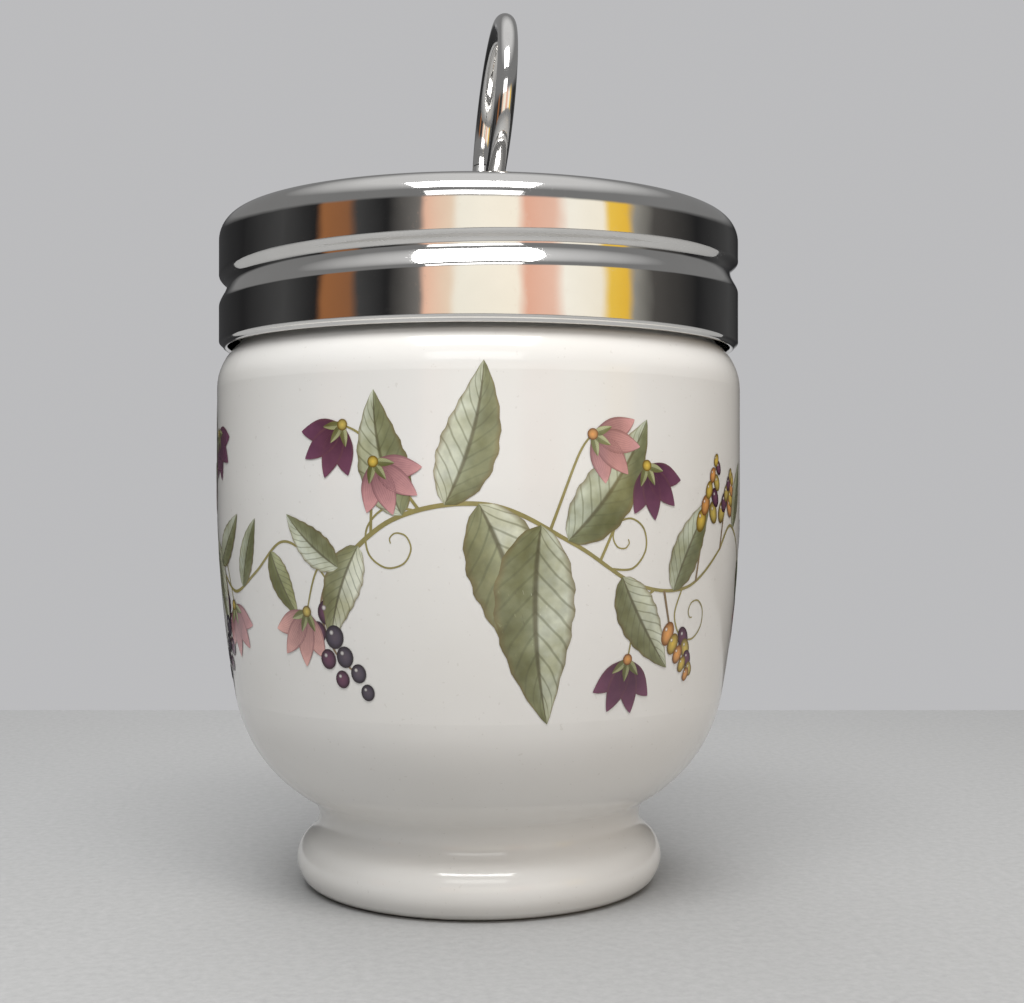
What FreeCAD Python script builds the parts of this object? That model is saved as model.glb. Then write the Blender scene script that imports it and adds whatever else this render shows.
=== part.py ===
"""Porcelain egg coddler: a footed cup with a threaded neck, a pressed steel screw lid, and a lifting ring.

Millimetres, +Z up. The origin is the centre of the foot's underside, and the cup's axis is +Z.
The lid turns on a right-hand thread. The lifting ring stands in a clip that one rivet holds to the lid.
"""

import FreeCAD, Part
import math
import os

from FreeCAD import Vector

# Cup, outside
body_r = 32.0            # straight upper part of the cup
shoulder_z = 60.0        # where the shoulder starts to turn in
shoulder_r = 6.7         # radius of the shoulder's round
side_top_z = 48.0        # below this the side leans in
side_round_r = 140.0     # the long, slow curve of the side
belly_top_z = 23.0       # where the slow curve meets the belly
belly_r = 18.0           # radius of the belly's round
waist_r = 19.7           # narrowest place, above the foot
foot_r = 22.4            # widest place of the foot
foot_mid_z = 3.2         # height of that place
foot_round_r = 3.7       # the foot's bulging side
toe_r = 2.4              # round at the foot's outer edge
foot_inner_r = 15.8      # wall of the hollow under the foot
foot_inner_edge_r = 1.3
foot_hollow_depth = 7.0
foot_hollow_fillet_r = 3.0

# Cup, neck and wall
wall = 3.0
neck_step = 3.1          # how far the neck stands in from the body
neck_wall = 2.9
neck_height = 18.6       # from the shoulder's start to the rim
neck_root_r = 1.5        # fillet between shoulder and neck
neck_inner_round_r = 3.0

# Thread, shared by cup and lid
pitch = 4.0
groove_width = 3.4       # the lid's rolled groove, seen from outside
groove_depth = 1.0
thread_overlap = 0.3    # how far the two ridges reach past each other
neck_ridge_r = 1.2
lid_thread_turns = 0.92
neck_thread_turns = 0.92
front_angle = -90.0      # direction in which both ridges are at their middle

# Lid
sheet = 0.5
thread_room = 2.4        # from the neck's wall to the lid's inner wall
lid_height = 16.1
lid_shoulder_r = 3.2
seat_gap = 0.75          # between the lid's hem and the cup's shoulder
hem_r = 0.33             # rolled edge at the bottom of the lid
hem_inset = 0.42         # how far the hem stands in from the lid's wall
hem_taper_height = 2.4
groove_above_hem = 7.8   # the groove's height at the front
panel_r = 23.0           # flat middle of the lid's top
panel_step_r = 25.5      # outer end of the step around the panel
panel_depth = 1.0

# Clip, rivet and lifting ring
clip_strip = 0.7
clip_width = 5.0         # along the ring's wire
clip_inner_span = 6.6
clip_corner_r = 0.8
wire_r = 1.2
ring_outer_r = 12.6
ring_gap = 0.2           # between the wire and the rivet's head
ring_headroom = 0.55     # above the wire, inside the clip
ring_lean = 5.0          # degrees from upright, towards +X
ring_offset = 0.8        # the wire lies this far from the middle of its loose clip, towards +X
butt_gap = 0.15          # between the two ends of the ring's wire
butt_angle = 20.0        # where the ends meet, degrees above the ring's middle, on the front side
rivet_r = 1.25
rivet_fit = 0.04         # radial room around the rivet's shank
rivet_play = 0.02        # axial room under each head
rivet_head_r = 2.2
rivet_head_height = 0.63
rivet_crown_flat = 0.5   # the head's flat top, as a share of the head's radius
rivet_crown_bend = 0.87  # where the crown bends most, as a share of the head's radius
rivet_crown_drop = 0.35  # how far that is below the top, as a share of the crown's height
rivet_tail_r = 2.0
rivet_tail_height = 0.6
rivet_tail_flat = 0.6    # the tail's flat end, as a share of the tail's radius

# Places that follow from the sizes above
Z_AXIS = Vector(0, 0, 1)
neck_r = body_r - neck_step
neck_inner_r = neck_r - neck_wall
rim_z = shoulder_z + neck_height
shoulder_cx = body_r - shoulder_r
side_cx = body_r - side_round_r
side_angle = math.degrees(math.asin((side_top_z - belly_top_z) / side_round_r))
belly_cx = side_cx + (side_round_r - belly_r) * math.cos(math.radians(side_angle))
belly_cz = side_top_z - (side_round_r - belly_r) * math.sin(math.radians(side_angle))
foot_cx = foot_r - foot_round_r
toe_lean = math.degrees(math.asin((foot_mid_z - toe_r) / (foot_round_r - toe_r)))
toe_cx = foot_cx + (foot_round_r - toe_r) * math.cos(math.radians(toe_lean))

lid_inner_r = neck_r + thread_room
lid_outer_r = lid_inner_r + sheet
hem_cx = lid_outer_r - hem_inset - hem_r
hem_reach = shoulder_r + seat_gap + hem_r
hem_cz = shoulder_z + math.sqrt(hem_reach ** 2 - (hem_cx - shoulder_cx) ** 2)
lid_bottom_z = hem_cz - hem_r
lid_top_z = lid_bottom_z + lid_height
panel_z = lid_top_z - panel_depth

groove_r = (groove_width ** 2 / 4 + groove_depth ** 2) / (2 * groove_depth)
groove_cr = lid_outer_r + groove_r - groove_depth
groove_front_z = lid_bottom_z + groove_above_hem
neck_ridge_cr = lid_inner_r - groove_depth + thread_overlap - neck_ridge_r

clip_floor_z = panel_z + clip_strip
rivet_top_z = clip_floor_z + rivet_play + rivet_head_height
ring_pivot_z = rivet_top_z + ring_gap + wire_r
ring_mean_r = ring_outer_r - wire_r
clip_ceiling_z = ring_pivot_z + wire_r + ring_headroom


def point(x, z):
    return Vector(x, 0, z)


def arc(cx, cz, radius, start, end):
    """An arc in the XZ plane, as its three points. Angles in degrees run from +X towards +Z."""
    def at(angle):
        a = math.radians(angle)
        return point(cx + radius * math.cos(a), cz + radius * math.sin(a))
    return at(start), at((start + end) / 2), at(end)


def outline(*stretches):
    """A closed wire through points and arcs in turn, with straight lines where the ends don't meet."""
    edges = []
    first = last = None
    for stretch in stretches:
        ends = stretch if isinstance(stretch, tuple) else (stretch,)
        if last is not None and last.distanceToPoint(ends[0]) > 1e-6:
            edges.append(Part.LineSegment(last, ends[0]).toShape())
        if len(ends) == 3:
            edges.append(Part.Arc(*ends).toShape())
        first = first or ends[0]
        last = ends[-1]
    edges.append(Part.LineSegment(last, first).toShape())
    return Part.Wire(edges)


def turned(wire):
    """The solid that a wire in the XZ plane sweeps round the axis."""
    return Part.Face(wire).revolve(Vector(0, 0, 0), Z_AXIS, 360)


def ridge(path_r, section_r, turns, middle_z):
    """A round bead along a right-hand helix with round ends, its middle at the front at middle_z."""
    rise = pitch * turns
    slope = math.atan2(pitch, 2 * math.pi * path_r)
    along = Vector(0, math.cos(slope), math.sin(slope))
    section = Part.Wire(Part.makeCircle(section_r, Vector(path_r, 0, 0), along))
    path = Part.Wire(Part.makeHelix(pitch, rise, path_r))
    bead = path.makePipeShell([section], True, True)
    end_angle = 2 * math.pi * turns
    ends = [Vector(path_r, 0, 0),
            Vector(path_r * math.cos(end_angle), path_r * math.sin(end_angle), rise)]
    for end in ends:
        bead = bead.fuse(Part.makeSphere(section_r, end))
    bead.rotate(Vector(0, 0, 0), Z_AXIS, front_angle - 180 * turns)
    bead.translate(Vector(0, 0, middle_z - rise / 2))
    return bead


def waist_fillet():
    """The fillet that meets belly and foot and is waist_r at its narrowest: radius, centre, end angles."""
    def rises(radius):
        cx = waist_r + radius
        above = (belly_r + radius) ** 2 - (cx - belly_cx) ** 2
        below = (foot_round_r + radius) ** 2 - (cx - foot_cx) ** 2
        return math.sqrt(max(above, 0)), math.sqrt(max(below, 0))

    low, high = 0.0, side_round_r
    for _ in range(60):
        radius = (low + high) / 2
        if sum(rises(radius)) < belly_cz - foot_mid_z:
            low = radius
        else:
            high = radius
    cx = waist_r + radius
    above, below = rises(radius)
    to_belly = math.degrees(math.atan2(above, cx - belly_cx))
    to_foot = math.degrees(math.atan2(below, cx - foot_cx))
    return radius, cx, foot_mid_z + below, to_belly, to_foot


def cup():
    """Foot, waist, belly, side, shoulder, neck and rim outside, then the cavity's wall back down."""
    fillet_r, fillet_cx, fillet_cz, to_belly, to_foot = waist_fillet()
    inner_shoulder_r = shoulder_r - wall
    root = math.acos((neck_r + neck_root_r - shoulder_cx) / (shoulder_r + neck_root_r))
    root_cz = shoulder_z + (shoulder_r + neck_root_r) * math.sin(root)
    root = math.degrees(root)
    inner_reach = inner_shoulder_r + neck_inner_round_r
    inner_root = math.acos((neck_inner_r + neck_inner_round_r - shoulder_cx) / inner_reach)
    inner_root_cz = shoulder_z + inner_reach * math.sin(inner_root)
    inner_root = math.degrees(inner_root)
    rim_r = neck_wall / 2
    hollow_corner = foot_inner_r - foot_hollow_fillet_r
    wire = outline(
        point(0, foot_hollow_depth),
        arc(hollow_corner, foot_hollow_depth - foot_hollow_fillet_r, foot_hollow_fillet_r, 90, 0),
        arc(foot_inner_r + foot_inner_edge_r, foot_inner_edge_r, foot_inner_edge_r, 180, 270),
        arc(toe_cx, toe_r, toe_r, -90, -toe_lean),
        arc(foot_cx, foot_mid_z, foot_round_r, -toe_lean, to_foot),
        arc(fillet_cx, fillet_cz, fillet_r, 180 + to_foot, 180 - to_belly),
        arc(belly_cx, belly_cz, belly_r, -to_belly, -side_angle),
        arc(side_cx, side_top_z, side_round_r, -side_angle, 0),
        arc(shoulder_cx, shoulder_z, shoulder_r, 0, root),
        arc(neck_r + neck_root_r, root_cz, neck_root_r, 180 + root, 180),
        arc(neck_r - rim_r, rim_z - rim_r, rim_r, 0, 180),
        arc(neck_inner_r + neck_inner_round_r, inner_root_cz, neck_inner_round_r, 180, 180 + inner_root),
        arc(shoulder_cx, shoulder_z, inner_shoulder_r, inner_root, 0),
        arc(side_cx, side_top_z, side_round_r - wall, 0, -side_angle),
        arc(belly_cx, belly_cz, belly_r - wall, -side_angle, -90),
        point(0, belly_cz - belly_r + wall),
    )
    thread = ridge(neck_ridge_cr, neck_ridge_r, neck_thread_turns, groove_front_z + pitch / 2)
    return turned(wire).fuse(thread)


def lid_cap():
    """One pressed sheet: a panel in a low step, a round shoulder, a wall with a rolled groove, a hem."""
    corner = lid_outer_r - lid_shoulder_r
    step_mid_r = (panel_r + panel_step_r) / 2
    step_mid_z = (panel_z + lid_top_z) / 2
    wire = outline(
        point(0, panel_z),
        point(panel_r, panel_z),
        point(step_mid_r, step_mid_z),
        point(panel_step_r, lid_top_z),
        arc(corner, lid_top_z - lid_shoulder_r, lid_shoulder_r, 90, 0),
        point(lid_outer_r, lid_bottom_z + hem_taper_height),
        arc(hem_cx, hem_cz, hem_r, 0, -180),
        point(lid_inner_r, lid_bottom_z + hem_taper_height),
        arc(corner, lid_top_z - lid_shoulder_r, lid_shoulder_r - sheet, 0, 90),
        point(panel_step_r, lid_top_z - sheet),
        point(step_mid_r, step_mid_z - sheet),
        point(panel_r, panel_z - sheet),
        point(0, panel_z - sheet),
    )
    shell = turned(wire)
    wall_middle = Part.makeCylinder(lid_inner_r + sheet / 2, lid_height, Vector(0, 0, lid_bottom_z))
    bead = ridge(groove_cr, groove_r + sheet, lid_thread_turns, groove_front_z).common(wall_middle)
    groove = ridge(groove_cr, groove_r, lid_thread_turns, groove_front_z)
    rivet_hole = Part.makeCylinder(rivet_r + rivet_fit, lid_height, Vector(0, 0, lid_bottom_z))
    return shell.fuse(bead).cut(groove).cut(rivet_hole)


def ring_clip():
    """A strip bent into a closed, flat loop, its floor on the lid's panel and its tunnel along Y."""
    height = clip_ceiling_z + clip_strip - panel_z
    outer = Part.makeBox(clip_inner_span + 2 * clip_strip, clip_width, height,
                         Vector(-clip_inner_span / 2 - clip_strip, -clip_width / 2, panel_z))
    inner = Part.makeBox(clip_inner_span, clip_width, clip_ceiling_z - clip_floor_z,
                         Vector(-clip_inner_span / 2, -clip_width / 2, clip_floor_z))
    outer = rounded_along_y(outer, clip_corner_r + clip_strip)
    inner = rounded_along_y(inner, clip_corner_r)
    hole = Part.makeCylinder(rivet_r + rivet_fit, 2 * clip_strip, Vector(0, 0, panel_z - clip_strip / 2))
    return outer.cut(inner).cut(hole)


def rounded_along_y(box, radius):
    """The box with its four edges that run along Y rounded."""
    edges = [e for e in box.Edges if abs(e.tangentAt(e.FirstParameter).y) > 0.5]
    return box.makeFillet(radius, edges)


def lid_rivet():
    """A low round head inside the clip, a shank through clip and lid, and a peened tail inside the lid."""
    head_bottom = clip_floor_z + rivet_play
    tail_top = panel_z - sheet - rivet_play
    crown = rivet_head_height / 2
    dome_top = head_bottom + rivet_head_height
    tail_bottom = tail_top - rivet_tail_height
    head = (point(rivet_head_r, head_bottom + crown),
            point(rivet_head_r * rivet_crown_bend, dome_top - crown * rivet_crown_drop),
            point(rivet_head_r * rivet_crown_flat, dome_top))
    wire = outline(
        point(0, tail_bottom),
        point(rivet_tail_r * rivet_tail_flat, tail_bottom),
        point(rivet_tail_r, tail_bottom + rivet_tail_height / 2),
        point(rivet_tail_r, tail_top),
        point(rivet_r, tail_top),
        point(rivet_r, head_bottom),
        point(rivet_head_r, head_bottom),
        head,
        point(0, dome_top),
    )
    return turned(wire)


def lifting_ring():
    """Round wire bent into a ring whose ends butt, standing in the clip and leaning a little."""
    gap_angle = math.degrees(butt_gap / ring_mean_r)
    wire_ring = Part.makeTorus(ring_mean_r, wire_r, Vector(0, 0, 0), Z_AXIS, 0, 360, 360 - gap_angle)
    wire_ring.rotate(Vector(0, 0, 0), Z_AXIS, gap_angle / 2)
    wire_ring.rotate(Vector(0, 0, 0), Vector(0, 1, 0), 90)
    wire_ring.rotate(Vector(0, 0, 0), Vector(1, 0, 0), 180 - butt_angle - 90)
    wire_ring.translate(Vector(ring_offset, 0, ring_pivot_z + ring_mean_r))
    wire_ring.rotate(Vector(ring_offset, 0, ring_pivot_z), Vector(0, 1, 0), ring_lean)
    return wire_ring


def main():
    os.makedirs("parts", exist_ok=True)
    for make in (cup, lid_cap, ring_clip, lid_rivet, lifting_ring):
        shape = make()
        solids = shape.Solids
        shape = solids[0] if len(solids) == 1 else Part.makeCompound(solids)
        shape.exportStep("parts/" + make.__name__ + ".step")
        print(make.__name__, len(solids), "valid", shape.isValid(), "volume", round(shape.Volume, 2))
    print("pivot z", round(ring_pivot_z, 3), "lid", round(lid_bottom_z, 3), round(lid_top_z, 3))


main()
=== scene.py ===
"""The looks of a porcelain egg coddler: a glazed cup with a printed garland, a polished lid and ring."""

import math
import random

import bpy
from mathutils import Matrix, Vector

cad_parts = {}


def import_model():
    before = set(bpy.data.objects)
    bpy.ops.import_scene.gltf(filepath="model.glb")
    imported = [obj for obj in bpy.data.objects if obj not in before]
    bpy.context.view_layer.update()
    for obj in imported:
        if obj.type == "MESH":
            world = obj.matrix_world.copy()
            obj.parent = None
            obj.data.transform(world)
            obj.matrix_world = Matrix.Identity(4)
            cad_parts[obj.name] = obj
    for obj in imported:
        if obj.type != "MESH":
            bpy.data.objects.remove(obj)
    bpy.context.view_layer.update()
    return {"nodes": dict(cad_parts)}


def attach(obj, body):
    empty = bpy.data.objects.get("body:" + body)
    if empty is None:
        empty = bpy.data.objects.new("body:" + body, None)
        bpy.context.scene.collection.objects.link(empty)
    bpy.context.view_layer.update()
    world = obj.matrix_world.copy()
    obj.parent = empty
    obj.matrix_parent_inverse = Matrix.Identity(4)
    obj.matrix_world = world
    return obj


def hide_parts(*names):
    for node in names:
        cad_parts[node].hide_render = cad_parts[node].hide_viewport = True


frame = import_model()

MM = 0.001

# Camera, from the photograph's perspective; lengths in metres
CAMERA_AZIMUTH = math.radians(-7.5)
CAMERA_DISTANCE = 184.7 * MM
CAMERA_HEIGHT = 45.8 * MM
CAMERA_SIDE = 4.04 * MM
CAMERA_PITCH = 0.0035
FOCAL_PX = 1486.0
IMAGE_WIDTH_PX = 1024
SENSOR_MM = 36.0
FORWARD = Vector((-math.sin(CAMERA_AZIMUTH), math.cos(CAMERA_AZIMUTH), 0))
RIGHT = Vector((math.cos(CAMERA_AZIMUTH), math.sin(CAMERA_AZIMUTH), 0))

# Cup, millimetres
BODY_R = 32.0
SIDE_TOP_Z = 48.0
SIDE_ROUND_R = 140.0

# Lid, millimetres and degrees
SHEET = 0.5
LID_OUTER_R = 31.8
LID_BOTTOM_Z = 64.911
LID_TOP_Z = 81.011
LID_SHOULDER_R = 3.2
PANEL_Z = 80.011
PANEL_R = 23.0
PANEL_STEP_R = 25.5
PANEL_CLEARANCE = 0.3
HEM_R = 0.33
HEM_INSET = 0.42
HEM_TAPER_HEIGHT = 0.75
RIVET_HOLE_R = 1.29
PITCH = 4.0
GROOVE_DEPTH = 0.95
GROOVE_DEEPEST_Z = 73.35
GROOVE_ABOVE = 1.25
GROOVE_BELOW = 2.6
GROOVE_HALF_ANGLE = 165.6
GROOVE_FADE_LEAD = 3.0
GROOVE_FADE = 6.5
WALL_SLACK = 0.01
WALL_ROWS = 70
LID_COLUMNS = 300
FRONT_ANGLE = -90.0

STEEL = (0.80, 0.79, 0.77, 1)
HAZE_SPREAD = 0.05
HAZE_SINK = 0.02
SCRATCH_LEVEL = 0.66
GLAZE_ROUGHNESS = 0.11
GLAZE_IOR = 1.52
GLAZE_WAVES = 0.06 * MM
BARE_FOOT_Z = 0.55 * MM
BARE_FOOT_WOBBLE = 0.5 * MM
BARE_FOOT_ROUGHER = 0.5
BACKDROP = (0.50, 0.50, 0.51)


def material(name):
    made = bpy.data.materials.new(name)
    made.use_nodes = True
    nodes = made.node_tree.nodes
    return made, nodes, made.node_tree.links, nodes["Principled BSDF"]


def noise(nodes, links, scale, detail=3.0, roughness=0.5):
    """Noise on the object's own coordinates, in metres."""
    place = nodes.new("ShaderNodeTexCoord")
    made = nodes.new("ShaderNodeTexNoise")
    made.inputs["Scale"].default_value = scale
    made.inputs["Detail"].default_value = detail
    made.inputs["Roughness"].default_value = roughness
    links.new(place.outputs["Object"], made.inputs["Vector"])
    return made.outputs["Fac"]


def ramp(nodes, links, source, *stops):
    made = nodes.new("ShaderNodeValToRGB")
    bar = made.color_ramp
    while len(bar.elements) < len(stops):
        bar.elements.new(0.5)
    for element, (where, colour) in zip(bar.elements, stops):
        element.position = where
        element.color = colour if len(colour) == 4 else (*colour, 1)
    links.new(source, made.inputs["Fac"])
    return made.outputs["Color"]


def maths(nodes, links, operation, first, second=None, third=None):
    made = nodes.new("ShaderNodeMath")
    made.operation = operation
    for socket, value in zip(made.inputs, (first, second, third)):
        if isinstance(value, (int, float)):
            socket.default_value = value
        elif value is not None:
            links.new(value, socket)
    return made.outputs[0]


def blend(nodes, links, share, first, second, kind="MIX"):
    made = nodes.new("ShaderNodeMix")
    made.data_type = "RGBA"
    made.blend_type = kind
    if isinstance(share, (int, float)):
        made.inputs[0].default_value = share
    else:
        links.new(share, made.inputs[0])
    for socket, value in ((made.inputs[6], first), (made.inputs[7], second)):
        if isinstance(value, tuple):
            socket.default_value = value if len(value) == 4 else (*value, 1)
        else:
            links.new(value, socket)
    return made.outputs[2]


def bump(nodes, links, bsdf, height, distance):
    made = nodes.new("ShaderNodeBump")
    made.inputs["Distance"].default_value = distance
    links.new(height, made.inputs["Height"])
    links.new(made.outputs["Normal"], bsdf.inputs["Normal"])


def make_camera():
    data = bpy.data.cameras.new("camera")
    data.sensor_width = SENSOR_MM
    data.lens = FOCAL_PX * SENSOR_MM / IMAGE_WIDTH_PX
    data.clip_start = 0.005
    data.clip_end = 20
    camera = bpy.data.objects.new("camera", data)
    bpy.context.scene.collection.objects.link(camera)
    camera.location = -FORWARD * CAMERA_DISTANCE + RIGHT * CAMERA_SIDE + Vector((0, 0, CAMERA_HEIGHT))
    aim = FORWARD * math.cos(CAMERA_PITCH) + Vector((0, 0, math.sin(CAMERA_PITCH)))
    camera.rotation_mode = "QUATERNION"
    camera.rotation_quaternion = aim.to_track_quat("-Z", "Y")
    bpy.context.scene.camera = camera


def glaze(nodes, links, bsdf):
    """A clear, even gloss with the faint waves of a poured glaze."""
    bsdf.inputs["Roughness"].default_value = GLAZE_ROUGHNESS
    bsdf.inputs["IOR"].default_value = GLAZE_IOR
    bump(nodes, links, bsdf, noise(nodes, links, 85, 2), GLAZE_WAVES)


def porcelain():
    """Warm white china, a touch cooler in places, with a dry, unglazed ring under the foot."""
    made, nodes, links, bsdf = material("porcelain")
    glaze(nodes, links, bsdf)
    clouds = ramp(nodes, links, noise(nodes, links, 38, 3),
                  (0.3, (0.775, 0.755, 0.715)), (0.7, (0.81, 0.795, 0.765)))
    specks = ramp(nodes, links, noise(nodes, links, 1900, 1),
                  (0.24, (0.45, 0.40, 0.33)), (0.27, (1, 1, 1)))
    body = blend(nodes, links, 0.14, clouds, specks, "MULTIPLY")
    place = nodes.new("ShaderNodeTexCoord")
    split = nodes.new("ShaderNodeSeparateXYZ")
    links.new(place.outputs["Object"], split.inputs[0])
    wobble = maths(nodes, links, "MULTIPLY", noise(nodes, links, 260, 2), BARE_FOOT_WOBBLE)
    raised = maths(nodes, links, "ADD", split.outputs["Z"], wobble)
    bare = maths(nodes, links, "LESS_THAN", raised, BARE_FOOT_Z)
    links.new(blend(nodes, links, bare, body, (0.70, 0.66, 0.60)), bsdf.inputs["Base Color"])
    matt = maths(nodes, links, "MULTIPLY", bare, BARE_FOOT_ROUGHER)
    links.new(maths(nodes, links, "ADD", matt, GLAZE_ROUGHNESS), bsdf.inputs["Roughness"])
    return made


def steel(name, roughness, scratches, waves):
    """Polished sheet or wire: a slight haze, fine wiping marks and soft waves, whose height is in mm."""
    made, nodes, links, bsdf = material(name)
    bsdf.inputs["Metallic"].default_value = 1
    haze = noise(nodes, links, 60, 4, 0.6)
    fine = noise(nodes, links, 2600, 2)
    tone = ramp(nodes, links, haze, (0.35, (0.74, 0.73, 0.71)), (0.65, STEEL))
    links.new(tone, bsdf.inputs["Base Color"])
    rough = maths(nodes, links, "MULTIPLY_ADD", haze, HAZE_SPREAD, roughness - HAZE_SINK)
    marks = maths(nodes, links, "GREATER_THAN", fine, SCRATCH_LEVEL)
    speck = maths(nodes, links, "MULTIPLY", marks, scratches)
    links.new(maths(nodes, links, "ADD", rough, speck), bsdf.inputs["Roughness"])
    bump(nodes, links, bsdf, noise(nodes, links, 120, 2), waves * MM)
    return made


def paint(piece, made):
    slots = piece.data.materials
    slots.clear()
    slots.append(made)


def mesh_piece(name, verts, faces, body, made, uvs=None, tints=None):
    data = bpy.data.meshes.new(name)
    data.from_pydata(verts, [], faces)
    data.shade_smooth()
    if uvs:
        layer = data.uv_layers.new(name="motif")
        for loop in data.loops:
            layer.data[loop.index].uv = uvs[loop.vertex_index]
    if tints:
        colours = data.color_attributes.new("tint", "FLOAT_COLOR", "POINT")
        for i, tint in enumerate(tints):
            colours.data[i].color = tint
    piece = bpy.data.objects.new(name, data)
    bpy.context.scene.collection.objects.link(piece)
    paint(piece, made)
    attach(piece, body)
    return piece


# The lid, as one pressed sheet with soft rolls

def arc_points(cx, cz, radius, start, end, count):
    return [(cx + radius * math.cos(math.radians(start + (end - start) * i / count)),
             cz + radius * math.sin(math.radians(start + (end - start) * i / count)))
            for i in range(count + 1)]


def step_points(drop):
    """The soft step from the panel up to the lid's top, drop below the outside."""
    points = []
    count = 10
    for i in range(count + 1):
        share = i / count
        soft = share * share * (3 - 2 * share)
        points.append((PANEL_R + (PANEL_STEP_R - PANEL_R) * share,
                       PANEL_Z - drop + (LID_TOP_Z - PANEL_Z) * soft))
    return points


def lid_profile():
    """The lid's section from the rivet hole over the outside, round the hem and back along the inside."""
    corner_r = LID_OUTER_R - LID_SHOULDER_R
    corner_z = LID_TOP_Z - LID_SHOULDER_R
    wall_end = LID_BOTTOM_Z + HEM_TAPER_HEIGHT
    hem_cx = LID_OUTER_R - HEM_INSET - HEM_R
    hem_cz = LID_BOTTOM_Z + HEM_R
    flats = [RIVET_HOLE_R + (PANEL_R - PANEL_CLEARANCE - RIVET_HOLE_R) * i / 6 for i in range(7)]
    wall = [corner_z + (wall_end - corner_z) * i / WALL_ROWS for i in range(1, WALL_ROWS + 1)]
    outside = [(r, PANEL_Z) for r in flats] + step_points(0)
    outside += arc_points(corner_r, corner_z, LID_SHOULDER_R, 90, 0, count=14)
    outside += [(LID_OUTER_R, z) for z in wall]
    taper = [(LID_OUTER_R - HEM_INSET * share * share, wall_end + (hem_cz - wall_end) * share)
             for share in (0.25, 0.5, 0.75)]
    hem = arc_points(hem_cx, hem_cz, HEM_R, 0, -180, count=8)
    inside = [(LID_OUTER_R - SHEET, z) for z in reversed(wall)]
    inside += arc_points(corner_r, corner_z, LID_SHOULDER_R - SHEET, 0, 90, count=10)
    inside += list(reversed(step_points(SHEET))) + [(r, PANEL_Z - SHEET) for r in reversed(flats)]
    return outside + taper + hem + inside


def groove_depth_at(angle, z):
    """How far the rolled groove pushes the wall in, at an angle in degrees from the lid's front."""
    over = max(0.0, abs(angle) - GROOVE_HALF_ANGLE + GROOVE_FADE_LEAD) / GROOVE_FADE
    if over >= 1:
        return 0.0
    off = z - GROOVE_DEEPEST_Z - PITCH * angle / 360
    share = off / (GROOVE_ABOVE if off > 0 else GROOVE_BELOW)
    if abs(share) >= 1:
        return 0.0
    return GROOVE_DEPTH * (1 - over * over * (3 - 2 * over)) * (1 - share * share) ** 2


def lid(made):
    """The section turned round its axis, with the wall pushed in along the groove."""
    profile = lid_profile()
    verts, faces = [], []
    for column in range(LID_COLUMNS):
        angle = 360 * column / LID_COLUMNS - 180
        turn = math.radians(FRONT_ANGLE + angle)
        for r, z in profile:
            on_wall = r > LID_OUTER_R - SHEET - WALL_SLACK
            away = r - groove_depth_at(angle, z) if on_wall else r
            verts.append((away * math.cos(turn) * MM, away * math.sin(turn) * MM, z * MM))
    rows = len(profile)
    for column in range(LID_COLUMNS):
        here, there = column * rows, (column + 1) % LID_COLUMNS * rows
        for row in range(rows):
            after = (row + 1) % rows
            faces.append((here + row, there + row, there + after, here + after))
    piece = mesh_piece("lid_pressing", verts, [face[::-1] for face in faces], "lid", made)
    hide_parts("lid_cap")


# The printed garland: thin shapes laid on the glaze, drawn on the cup's unrolled side in mm

BLADE_COLUMNS, BLADE_ROWS = 28, 10
STRAND_COLUMNS, STRAND_ROWS = 12, 2
DISC_COLUMNS, DISC_ROWS = 6, 20
BLADE_ROUNDNESS = 0.85
EDGE_WAVE_RATE = 46
STRAND_THINNING = 0.45
VEIN_SLANT = 0.42
VEIN_RATE = 62
PETAL_LINE_RATE = 31

# How far each kind of shape stands off the glaze, so that those which overlap keep apart
LIFT = {"link": 0.018, "tendril": 0.019, "main_stem": 0.02, "bunch_stem": 0.022, "bell_stem": 0.024,
        "seed_stem": 0.026, "leaf": 0.03, "berry": 0.05, "petal": 0.055, "sepal": 0.068, "eye": 0.074}
LEAF_STEP = 0.003
LAYER_STEP = 0.002
THIN_STEP = 0.001

MAIN_WIDTH, LINK_WIDTH, STEM_WIDTH, TENDRIL_WIDTH = 0.55, 0.4, 0.34, 0.24

SAGE = ((0.335, 0.355, 0.285, 1), (0.40, 0.415, 0.345, 1), (0.28, 0.29, 0.17, 1), (0.46, 0.465, 0.385, 1))
OLIVE = (0.30, 0.26, 0.10, 1)
BROWN = (0.24, 0.17, 0.10, 1)
PLUM = ((0.115, 0.045, 0.085, 1), (0.17, 0.06, 0.11, 1), (0.075, 0.06, 0.085, 1))
ROSE = ((0.50, 0.29, 0.27, 1), (0.55, 0.38, 0.33, 1), (0.43, 0.23, 0.24, 1))
OCHRE = ((0.50, 0.36, 0.07, 1), (0.42, 0.33, 0.09, 1), (0.56, 0.27, 0.09, 1))

# One spray, to the right of its middle and above the table
MAIN_STEM = ((-23, 38), (-15, 44.5), (-5, 46), (4, 42), (12, 37.5), (20, 37), (27, 41))
# Where each leaf leaves the main stem, its direction in degrees, length, width and bend
LEAVES = ((-14, 118, 13.5, 5.6, -0.5), (-9.5, 62, 15.5, 6.2, 0.45), (-6, -62, 20, 8.4, -0.35),
          (0.5, -98, 21, 8.8, 0.4), (3.5, 42, 16, 6.4, 0.4), (10, -64, 12.5, 5.2, 0.35),
          (17.5, 68, 12, 4.8, -0.4), (-19, -122, 11, 4.6, 0.4), (-21.5, 150, 9, 3.8, -0.3))
# Where each flower's stem leaves the main one, the place of its eye and the way it hangs
BELLS = ((-17.5, (-17.2, 50.5), -52), (-12.2, (-20.8, 54.4), -128), (1.5, (6.2, 53.4), -28),
         (7.2, (13.0, 50.2), -62), (-20.5, (-26.0, 34.6), -112), (14.5, (11.3, 29.5), -96))
STEM_BOW = 2.2
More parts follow.
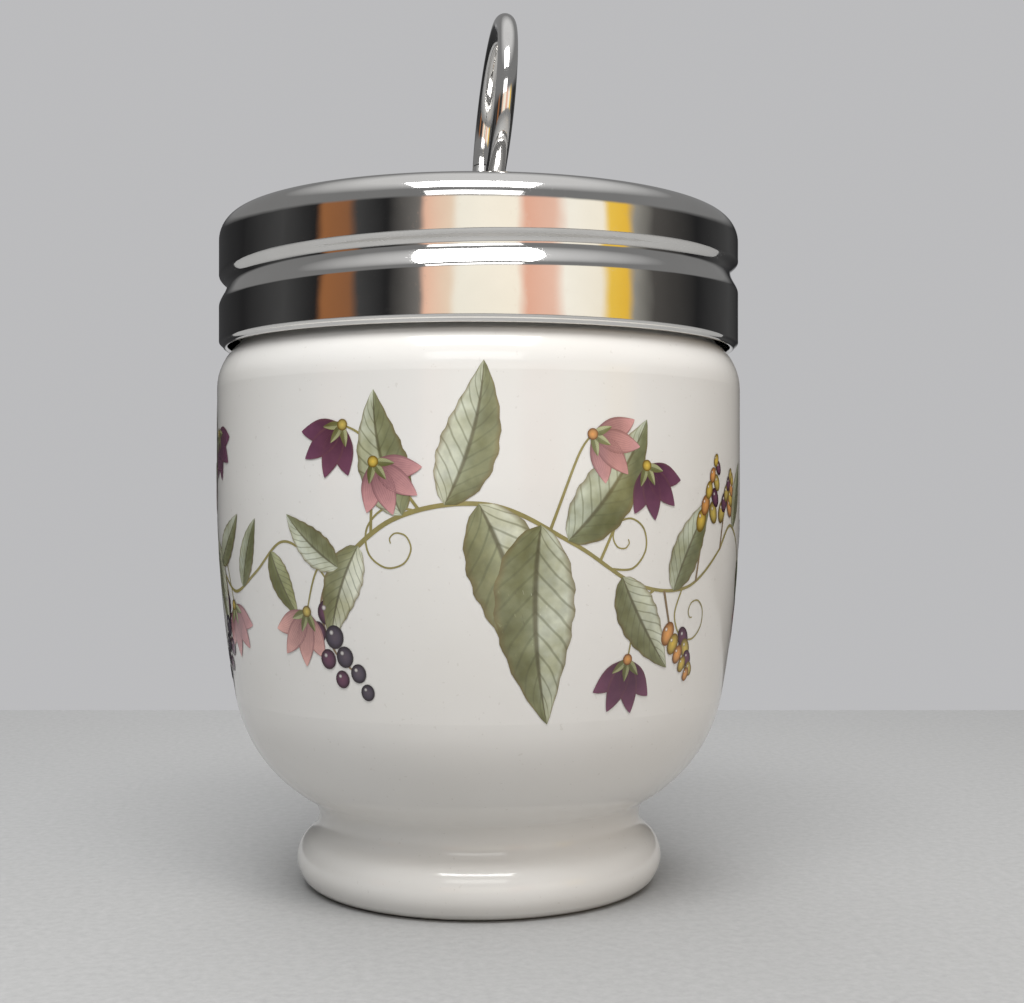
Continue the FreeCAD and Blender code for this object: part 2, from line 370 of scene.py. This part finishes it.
# Each petal's direction from the flower's own, in degrees, and its length
PETALS = ((-34, 5.4), (34, 5.4), (-12, 6.0), (12, 6.0))
PETAL_WIDTH = 2.5
PETAL_BEND = 0.012
SEPAL_SPREADS = (-48, 0, 48)
SEPAL_LENGTH, SEPAL_WIDTH = 2.4, 0.9
EYE_R = 0.62
# Where each seed head leaves the main stem, its height and its lean
SEED_HEADS = ((21.5, 13.5, 4.5), (27.0, 8.5, 3.5), (16.0, -9.5, 5.5))
SEEDS_PER_HEAD = 9
BUNCH_STEM = ((-22.5, 39), (-24, 35), (-22.5, 30.5), (-19, 27.6))
BUNCH = ((-23.2, 34.6), (-22.4, 32.0), (-24.6, 32.4), (-21.2, 29.9), (-23.4, 29.6),
         (-19.6, 28.2), (-21.7, 27.5), (-18.6, 26.2))
# Where each tendril leaves the main stem, its reach and its first direction in degrees
TENDRILS = ((-12.5, 4.2, 235), (8.5, 3.6, 60), (19.0, 3.8, -50))
TENDRIL_POINTS = 11
TENDRIL_STEP = 48

# Middles of the sprays as shares of the way round, and which are mirrored
SPRAYS = ((0.012, 1), (0.345, 1), (0.678, -1))
GARLAND_SEED = 7
# Stems from one spray to the next, with two leaves on each: place, direction, length, bend and tint
LINKS = (((29.4, 41), (32.5, 43.6), (36, 42), (39.5, 38), (43, 36.6), (46.4, 38)),
         ((96.4, 41), (99.5, 42.6), (103, 40.5), (106, 40), (109.3, 41)),
         ((159.3, 38), (163.5, 36.2), (169, 38.6), (174, 42), (178, 40.6), (180.5, 38)))
LINK_LEAF_WIDTH = 3.2
LINK_LEAVES = ((1.4, 74, 8.5, -0.3, SAGE[0]), (2.6, -68, 8.0, 0.3, SAGE[2]))


def side_r(z):
    """The cup's outer radius at a height within the printed band."""
    if z >= SIDE_TOP_Z:
        return BODY_R
    return BODY_R - SIDE_ROUND_R + math.sqrt(SIDE_ROUND_R ** 2 - (SIDE_TOP_Z - z) ** 2)


def along_curve(points, place):
    """Place and direction on the smooth curve through points; place counts the points from 0."""
    last = len(points) - 1
    i = min(int(place), last - 1)
    t = place - i
    spot, slope = [], []
    for p0, p1, p2, p3 in zip(points[max(i - 1, 0)], points[i], points[i + 1], points[min(i + 2, last)]):
        linear, square, cube = p2 - p0, 2 * p0 - 5 * p1 + 4 * p2 - p3, 3 * p1 - p0 - 3 * p2 + p3
        spot.append(0.5 * (2 * p1 + linear * t + square * t * t + cube * t ** 3))
        slope.append(0.5 * (linear + 2 * square * t + 3 * cube * t * t))
    return spot, slope


def height_on(points, x):
    """The height at which a curve that runs steadily to the right passes x."""
    low, high = 0.0, len(points) - 1.0
    for _ in range(40):
        middle = (low + high) / 2
        if along_curve(points, middle)[0][0] < x:
            low = middle
        else:
            high = middle
    return along_curve(points, low)[0][1]


class Print:
    """Shapes of one ink kind, gathered into one mesh on the cup."""

    def __init__(self):
        self.verts, self.faces, self.uvs, self.tints = [], [], [], []

    def grid(self, at, columns, rows, tint, lift):
        """at(u, v) gives the place in mm on the unrolled side, for u and v from 0 to 1."""
        first = len(self.verts)
        for i in range(columns + 1):
            for j in range(rows + 1):
                u, v = i / columns, j / rows
                across, z = at(u, v)
                turn = math.radians(FRONT_ANGLE) + across / BODY_R
                r = side_r(z) + lift
                self.verts.append((r * math.cos(turn) * MM, r * math.sin(turn) * MM, z * MM))
                self.uvs.append((u, v))
                self.tints.append(tint)
        for i in range(columns):
            for j in range(rows):
                a = first + i * (rows + 1) + j
                b = a + rows + 1
                self.faces.append((a, a + 1, b + 1, b))

    def blade(self, x, z, angle, length, width, bend, tint, lift, fullness, waves=0.0):
        """A leaf or petal from its base, bending to one side, with soft waves along its edge."""
        def at(u, v):
            start = math.radians(angle)
            heading = start + bend * u
            along = length * u
            bx = x + along * math.cos(start + bend * u / 2)
            bz = z + along * math.sin(start + bend * u / 2)
            swell = math.sin(math.pi * u ** fullness) ** BLADE_ROUNDNESS if 0 < u < 1 else 0.0
            edge = width / 2 * swell * (1 + waves * math.sin(u * EDGE_WAVE_RATE))
            side = (2 * v - 1) * edge
            return bx - side * math.sin(heading), bz + side * math.cos(heading)
        self.grid(at, BLADE_COLUMNS, BLADE_ROWS, tint, lift)

    def strand(self, points, width, tint, lift):
        """A stem through points, thinning to its end."""
        def at(u, v):
            (x, z), (dx, dz) = along_curve(points, u * (len(points) - 1))
            size = math.hypot(dx, dz) or 1
            side = (v - 0.5) * width * (1 - STRAND_THINNING * u)
            return x - side * dz / size, z + side * dx / size
        self.grid(at, STRAND_COLUMNS * (len(points) - 1), STRAND_ROWS, tint, lift)

    def round(self, x, z, radius, tint, lift, tall=1.0, angle=0.0):
        """A berry, seed or flower's eye: a disc whose u runs from the middle outwards."""
        c, s = math.cos(math.radians(angle)), math.sin(math.radians(angle))

        def at(u, v):
            turn = 2 * math.pi * v
            px, pz = radius * u * math.cos(turn), radius * u * math.sin(turn) * tall
            return x + px * c - pz * s, z + px * s + pz * c
        self.grid(at, DISC_COLUMNS, DISC_ROWS, tint, lift)

    def berry(self, x, z, radius, tint, lift, tall=1.0, angle=0.0):
        """A disc with a small painted light at its upper left."""
        self.round(x, z, radius, tint, lift, tall, angle)
        pale = tuple(0.45 + 0.45 * part for part in tint[:3]) + (1,)
        self.round(x - 0.3 * radius, z + 0.36 * radius * tall, 0.24 * radius, pale, lift + THIN_STEP)

    def finish(self, name, made):
        mesh_piece(name, self.verts, self.faces, "cup", made, self.uvs, self.tints)


def ink(name, build):
    """A printed colour under the china's glaze; build gives the colour from u, v and the tint."""
    made, nodes, links, bsdf = material(name)
    glaze(nodes, links, bsdf)
    place = nodes.new("ShaderNodeUVMap")
    place.uv_map = "motif"
    split = nodes.new("ShaderNodeSeparateXYZ")
    links.new(place.outputs[0], split.inputs[0])
    tint = nodes.new("ShaderNodeAttribute")
    tint.attribute_name = "tint"
    colour = build(nodes, links, split.outputs["X"], split.outputs["Y"], tint.outputs["Color"])
    wash = ramp(nodes, links, noise(nodes, links, 420, 4, 0.65),
                (0.3, (0.78, 0.78, 0.78)), (0.72, (1.18, 1.16, 1.1)))
    links.new(blend(nodes, links, 0.8, colour, wash, "MULTIPLY"), bsdf.inputs["Base Color"])
    return made


def leaf_colour(nodes, links, u, v, tint):
    """A pale and a darker half, a dark midrib, slanting side veins and a brown edge."""
    off = maths(nodes, links, "ABSOLUTE", maths(nodes, links, "SUBTRACT", v, 0.5))
    half = ramp(nodes, links, v, (0.3, (0.56, 0.56, 0.38)), (0.47, (0.74, 0.76, 0.58)),
                (0.53, (1.30, 1.32, 1.28)), (0.8, (1.52, 1.54, 1.56)))
    colour = blend(nodes, links, 1.0, tint, half, "MULTIPLY")
    slant = maths(nodes, links, "SUBTRACT", u, maths(nodes, links, "MULTIPLY", off, VEIN_SLANT))
    wave = maths(nodes, links, "SINE", maths(nodes, links, "MULTIPLY", slant, VEIN_RATE))
    crest = maths(nodes, links, "MULTIPLY_ADD", wave, 0.5, 0.5)
    veins = ramp(nodes, links, crest, (0.86, (0, 0, 0)), (0.99, (1, 1, 1)))
    colour = blend(nodes, links, maths(nodes, links, "MULTIPLY", veins, 0.55), colour, (0.16, 0.17, 0.10))
    rib = ramp(nodes, links, off, (0.016, (1, 1, 1)), (0.05, (0, 0, 0)))
    colour = blend(nodes, links, maths(nodes, links, "MULTIPLY", rib, 0.85), colour, (0.13, 0.12, 0.07))
    edge = ramp(nodes, links, off, (0.40, (0, 0, 0)), (0.5, (1, 1, 1)))
    colour = blend(nodes, links, maths(nodes, links, "MULTIPLY", edge, 0.75), colour, (0.20, 0.15, 0.07))
    cloud = ramp(nodes, links, noise(nodes, links, 190, 3, 0.6),
                 (0.36, (0.62, 0.60, 0.44)), (0.6, (1.12, 1.12, 1.12)))
    return blend(nodes, links, 0.85, colour, cloud, "MULTIPLY")


def petal_colour(nodes, links, u, v, tint):
    """Deep at the base, paler at the lip, with fine lines along it."""
    pale = ramp(nodes, links, u,
                (0.0, (0.42, 0.34, 0.38)), (0.5, (1, 0.95, 0.95)), (1.0, (1.6, 1.55, 1.5)))
    colour = blend(nodes, links, 1.0, tint, pale, "MULTIPLY")
    wave = maths(nodes, links, "SINE", maths(nodes, links, "MULTIPLY", v, PETAL_LINE_RATE))
    lines = ramp(nodes, links, maths(nodes, links, "ABSOLUTE", wave),
                 (0.06, (1, 1, 1)), (0.34, (0, 0, 0)))
    colour = blend(nodes, links, maths(nodes, links, "MULTIPLY", lines, 0.4), colour, (0.14, 0.05, 0.08))
    off = maths(nodes, links, "ABSOLUTE", maths(nodes, links, "SUBTRACT", v, 0.5))
    edge = ramp(nodes, links, off, (0.38, (0, 0, 0)), (0.49, (1, 1, 1)))
    return blend(nodes, links, maths(nodes, links, "MULTIPLY", edge, 0.6), colour, (0.16, 0.07, 0.08))


def seed_colour(nodes, links, u, v, tint):
    """Lit at the middle, dark round the rim."""
    rim = ramp(nodes, links, u, (0.0, (1.5, 1.45, 1.3)), (0.55, (1, 1, 1)), (0.92, (0.35, 0.30, 0.28)))
    return blend(nodes, links, 1.0, tint, rim, "MULTIPLY")


def stem_colour(nodes, links, u, v, tint):
    """One even colour."""
    return tint


def spray(centre, flip, dice, leaves, petals, seeds, stems):
    """One spray of the garland round a place on the unrolled side; a flip of -1 mirrors it."""
    def x(value):
        return centre + flip * value

    def heading(angle):
        return angle if flip > 0 else 180 - angle

    stems.strand([(x(a), b) for a, b in MAIN_STEM], MAIN_WIDTH, OLIVE, LIFT["main_stem"])
    for i, (bx, angle, length, width, bend) in enumerate(LEAVES):
        tint = SAGE[(i + dice.randrange(3)) % len(SAGE)]
        leaves.blade(x(bx), height_on(MAIN_STEM, bx), heading(angle), length, width, flip * bend, tint,
                     LIFT["leaf"] + LEAF_STEP * i, fullness=0.72, waves=0.035)
    for i, (bx, (hx, hz), angle) in enumerate(BELLS):
        bz = height_on(MAIN_STEM, bx)
        bow = (x(bx * 0.35 + hx * 0.65), bz * 0.45 + hz * 0.55 + STEM_BOW)
        stems.strand([(x(bx), bz), bow, (x(hx), hz)], STEM_WIDTH, OLIVE, LIFT["bell_stem"])
        tint = (ROSE if i % 2 == 0 else PLUM)[dice.randrange(3)]
        for spread, length in PETALS:
            petals.blade(x(hx), hz, heading(angle + spread), length, PETAL_WIDTH,
                         PETAL_BEND * flip * spread, tint,
                         LIFT["petal"] + LAYER_STEP * (40 - abs(spread)) / 10, fullness=0.95)
        for spread in SEPAL_SPREADS:
            leaves.blade(x(hx), hz, heading(angle + spread), SEPAL_LENGTH, SEPAL_WIDTH, 0, SAGE[2],
                         LIFT["sepal"], fullness=0.8)
        seeds.round(x(hx), hz, EYE_R, OCHRE[i % 3], LIFT["eye"])
    for i, (bx, height, lean) in enumerate(SEED_HEADS):
        bz = height_on(MAIN_STEM, bx)
        bow, top = (x(bx + lean * 0.35), bz + height * 0.55), (x(bx + lean), bz + height)
        stems.strand([(x(bx), bz), bow, top], STEM_WIDTH, BROWN, LIFT["seed_stem"])
        for k in range(SEEDS_PER_HEAD):
            share = k / (SEEDS_PER_HEAD - 1)
            side = 1 if k % 2 else -1
            sx = bx + lean * (0.42 + 0.58 * share) + side * (1.25 - 0.85 * share)
            sz = bz + height * (0.5 + 0.5 * share)
            seeds.berry(x(sx), sz, 0.95 - 0.4 * share, (OCHRE + PLUM[:1])[(k + i) % 4],
                        LIFT["berry"] + LAYER_STEP * k, tall=1.45, angle=flip * side * 24)
    stems.strand([(x(a), b) for a, b in BUNCH_STEM], STEM_WIDTH, BROWN, LIFT["bunch_stem"])
    for k, (bx, bz) in enumerate(BUNCH):
        seeds.berry(x(bx), bz, 1.25 - 0.06 * k, PLUM[k % 2 * 2],
                    LIFT["berry"] + LAYER_STEP * k, tall=1.08)
    for bx, reach, opening in TENDRILS:
        start = math.radians(opening)
        hub_x, hub_z = bx + reach * math.cos(start), height_on(MAIN_STEM, bx) + reach * math.sin(start)
        curl = []
        for k in range(TENDRIL_POINTS):
            swing, size = math.radians(opening + TENDRIL_STEP * k), reach * (1 - k / TENDRIL_POINTS)
            curl.append((x(hub_x - size * math.cos(swing)), hub_z - size * math.sin(swing)))
        stems.strand(curl, TENDRIL_WIDTH, OLIVE, LIFT["tendril"])


def garland():
    """Three sprays round the cup, joined by thin, leafy stems."""
    dice = random.Random(GARLAND_SEED)
    leaves, petals, seeds, stems = Print(), Print(), Print(), Print()
    round_mm = 2 * math.pi * BODY_R
    for share, flip in SPRAYS:
        spray(share * round_mm, flip, dice, leaves, petals, seeds, stems)
    for link in LINKS:
        stems.strand(link, LINK_WIDTH, OLIVE, LIFT["link"])
        for place, angle, length, bend, tint in LINK_LEAVES:
            (bx, bz), _ = along_curve(link, place)
            leaves.blade(bx, bz, angle, length, LINK_LEAF_WIDTH, bend, tint,
                         LIFT["leaf"] + THIN_STEP * place, fullness=0.75, waves=0.03)
    leaves.finish("print_leaves", ink("leaf_ink", leaf_colour))
    petals.finish("print_petals", ink("petal_ink", petal_colour))
    seeds.finish("print_seeds", ink("seed_ink", seed_colour))
    stems.finish("print_stems", ink("stem_ink", stem_colour))


# Surroundings

def table():
    """A plain pale table top whose far edge lies behind the cup."""
    thick, near, far, half = 0.03, -1.2, 0.15, 1.6
    corners = []
    for z in (0, -thick):
        for along, side in ((near, -half), (near, half), (far, half), (far, -half)):
            place = FORWARD * along + RIGHT * side
            corners.append((place.x, place.y, z))
    data = bpy.data.meshes.new("table")
    data.from_pydata(corners, [], [(0, 1, 2, 3), (7, 6, 5, 4), (0, 4, 5, 1),
                                   (1, 5, 6, 2), (2, 6, 7, 3), (3, 7, 4, 0)])
    top = bpy.data.objects.new("table", data)
    bpy.context.scene.collection.objects.link(top)
    made, nodes, links, bsdf = material("table")
    grain = ramp(nodes, links, noise(nodes, links, 900, 4, 0.7),
                 (0.3, (0.33, 0.33, 0.327)), (0.7, (0.39, 0.39, 0.386)))
    links.new(grain, bsdf.inputs["Base Color"])
    bsdf.inputs["Roughness"].default_value = 0.75
    top.data.materials.append(made)


def area(name, along, side, height, target_height, size, power, colour, mirrored):
    """A soft lamp, placed in metres along the view, to its right and above the table."""
    place = FORWARD * along + RIGHT * side + Vector((0, 0, height))
    target = Vector((0, 0, target_height))
    data = bpy.data.lights.new(name, "AREA")
    data.shape = "RECTANGLE"
    data.size, data.size_y = size
    data.energy = power
    data.color = colour
    lamp = bpy.data.objects.new(name, data)
    bpy.context.scene.collection.objects.link(lamp)
    lamp.location = place
    lamp.rotation_mode = "QUATERNION"
    lamp.rotation_quaternion = (target - place).to_track_quat("-Z", "Y")
    lamp.visible_glossy = mirrored


def world():
    """A pale backdrop, even soft light, and cards and flags round the table for the metal to mirror."""
    made = bpy.data.worlds.new("studio")
    bpy.context.scene.world = made
    made.use_nodes = True
    nodes, links = made.node_tree.nodes, made.node_tree.links
    place = nodes.new("ShaderNodeTexCoord")
    turn = nodes.new("ShaderNodeVectorRotate")
    turn.rotation_type = "Z_AXIS"
    turn.inputs["Angle"].default_value = -CAMERA_AZIMUTH
    links.new(place.outputs["Generated"], turn.inputs["Vector"])
    split = nodes.new("ShaderNodeSeparateXYZ")
    links.new(turn.outputs[0], split.inputs[0])
    # 0.5 looks back past the camera, and larger values lie to its right
    behind = maths(nodes, links, "MULTIPLY", split.outputs["Y"], -1)
    swing = maths(nodes, links, "ARCTAN2", split.outputs["X"], behind)
    share = maths(nodes, links, "MULTIPLY_ADD", swing, 1 / (2 * math.pi), 0.5)

    def at(degrees):
        return 0.5 + degrees / 360

    dark, grey = (0.02, 0.02, 0.021), (0.065, 0.065, 0.066)
    bands = ramp(nodes, links, share,
                 (at(-172), BACKDROP), (at(-166), (0.05, 0.05, 0.052)), (at(-120), dark),
                 (at(-90), grey), (at(-71), dark), (at(-67), (0.36, 0.15, 0.06)),
                 (at(-55), (0.30, 0.13, 0.06)), (at(-51), grey), (at(-37), dark),
                 (at(-24), (0.2, 0.19, 0.18)), (at(-21), (1.0, 0.62, 0.46)), (at(-11), (1.0, 0.8, 0.62)),
                 (at(-8), (1.1, 1.05, 0.92)), (at(17), (1.15, 1.06, 0.9)), (at(21), (0.95, 0.52, 0.38)),
                 (at(33), (1.0, 0.64, 0.5)), (at(38), (1.15, 1.1, 0.98)), (at(54), (1.1, 1.02, 0.86)),
                 (at(57), (1.0, 0.66, 0.1)), (at(66), (0.95, 0.58, 0.07)), (at(70), (0.34, 0.33, 0.3)),
                 (at(80), (0.09, 0.085, 0.08)), (at(108), dark), (at(140), grey), (at(164), dark),
                 (at(172), BACKDROP))
    height = ramp(nodes, links, split.outputs["Z"], (0.24, (0, 0, 0)), (0.34, (1, 1, 1)))
    above = ramp(nodes, links, split.outputs["Z"], (0.66, (0.22, 0.22, 0.222)), (0.9, (0.7, 0.7, 0.705)))
    mirrored = blend(nodes, links, height, bands, above)
    soft = ramp(nodes, links, split.outputs["Z"],
                (0.0, (0.06, 0.06, 0.062)), (0.25, (0.12, 0.121, 0.126)),
                (0.6, (0.52, 0.525, 0.54)), (1.0, (1.25, 1.26, 1.28)))
    rays = nodes.new("ShaderNodeLightPath")
    seen = maths(nodes, links, "MAXIMUM",
                 rays.outputs["Is Glossy Ray"], rays.outputs["Is Transmission Ray"])
    colour = blend(nodes, links, seen, soft, mirrored)
    colour = blend(nodes, links, rays.outputs["Is Camera Ray"], colour, BACKDROP)
    links.new(colour, nodes["Background"].inputs["Color"])


make_camera()
table()
world()
area("key", along=-0.19, side=-0.005, height=0.38, target_height=0.06,
     size=(0.26, 0.14), power=1.25, colour=(1, 1, 1), mirrored=True)
area("card", along=-0.30, side=-0.005, height=0.22, target_height=0.06,
     size=(0.22, 0.08), power=0.13, colour=(1, 1, 1), mirrored=True)
area("fill", along=-0.27, side=0.36, height=0.17, target_height=0.04,
     size=(0.2, 0.16), power=0.26, colour=(1, 0.80, 0.58), mirrored=False)
area("back", along=0.30, side=-0.1, height=0.40, target_height=0.05,
     size=(0.3, 0.2), power=0.55, colour=(1, 1, 1), mirrored=False)

paint(frame["nodes"]["cup"], porcelain())
paint(frame["nodes"]["ring_clip"], steel("clip_steel", roughness=0.09, scratches=0.08, waves=0.03))
paint(frame["nodes"]["lid_rivet"], steel("rivet_steel", roughness=0.12, scratches=0.1, waves=0.03))
paint(frame["nodes"]["lifting_ring"], steel("ring_steel", roughness=0.07, scratches=0.08, waves=0.02))
lid(steel("lid_steel", roughness=0.05, scratches=0.06, waves=0.085))
garland()

bpy.context.scene.view_settings.view_transform = "Standard"
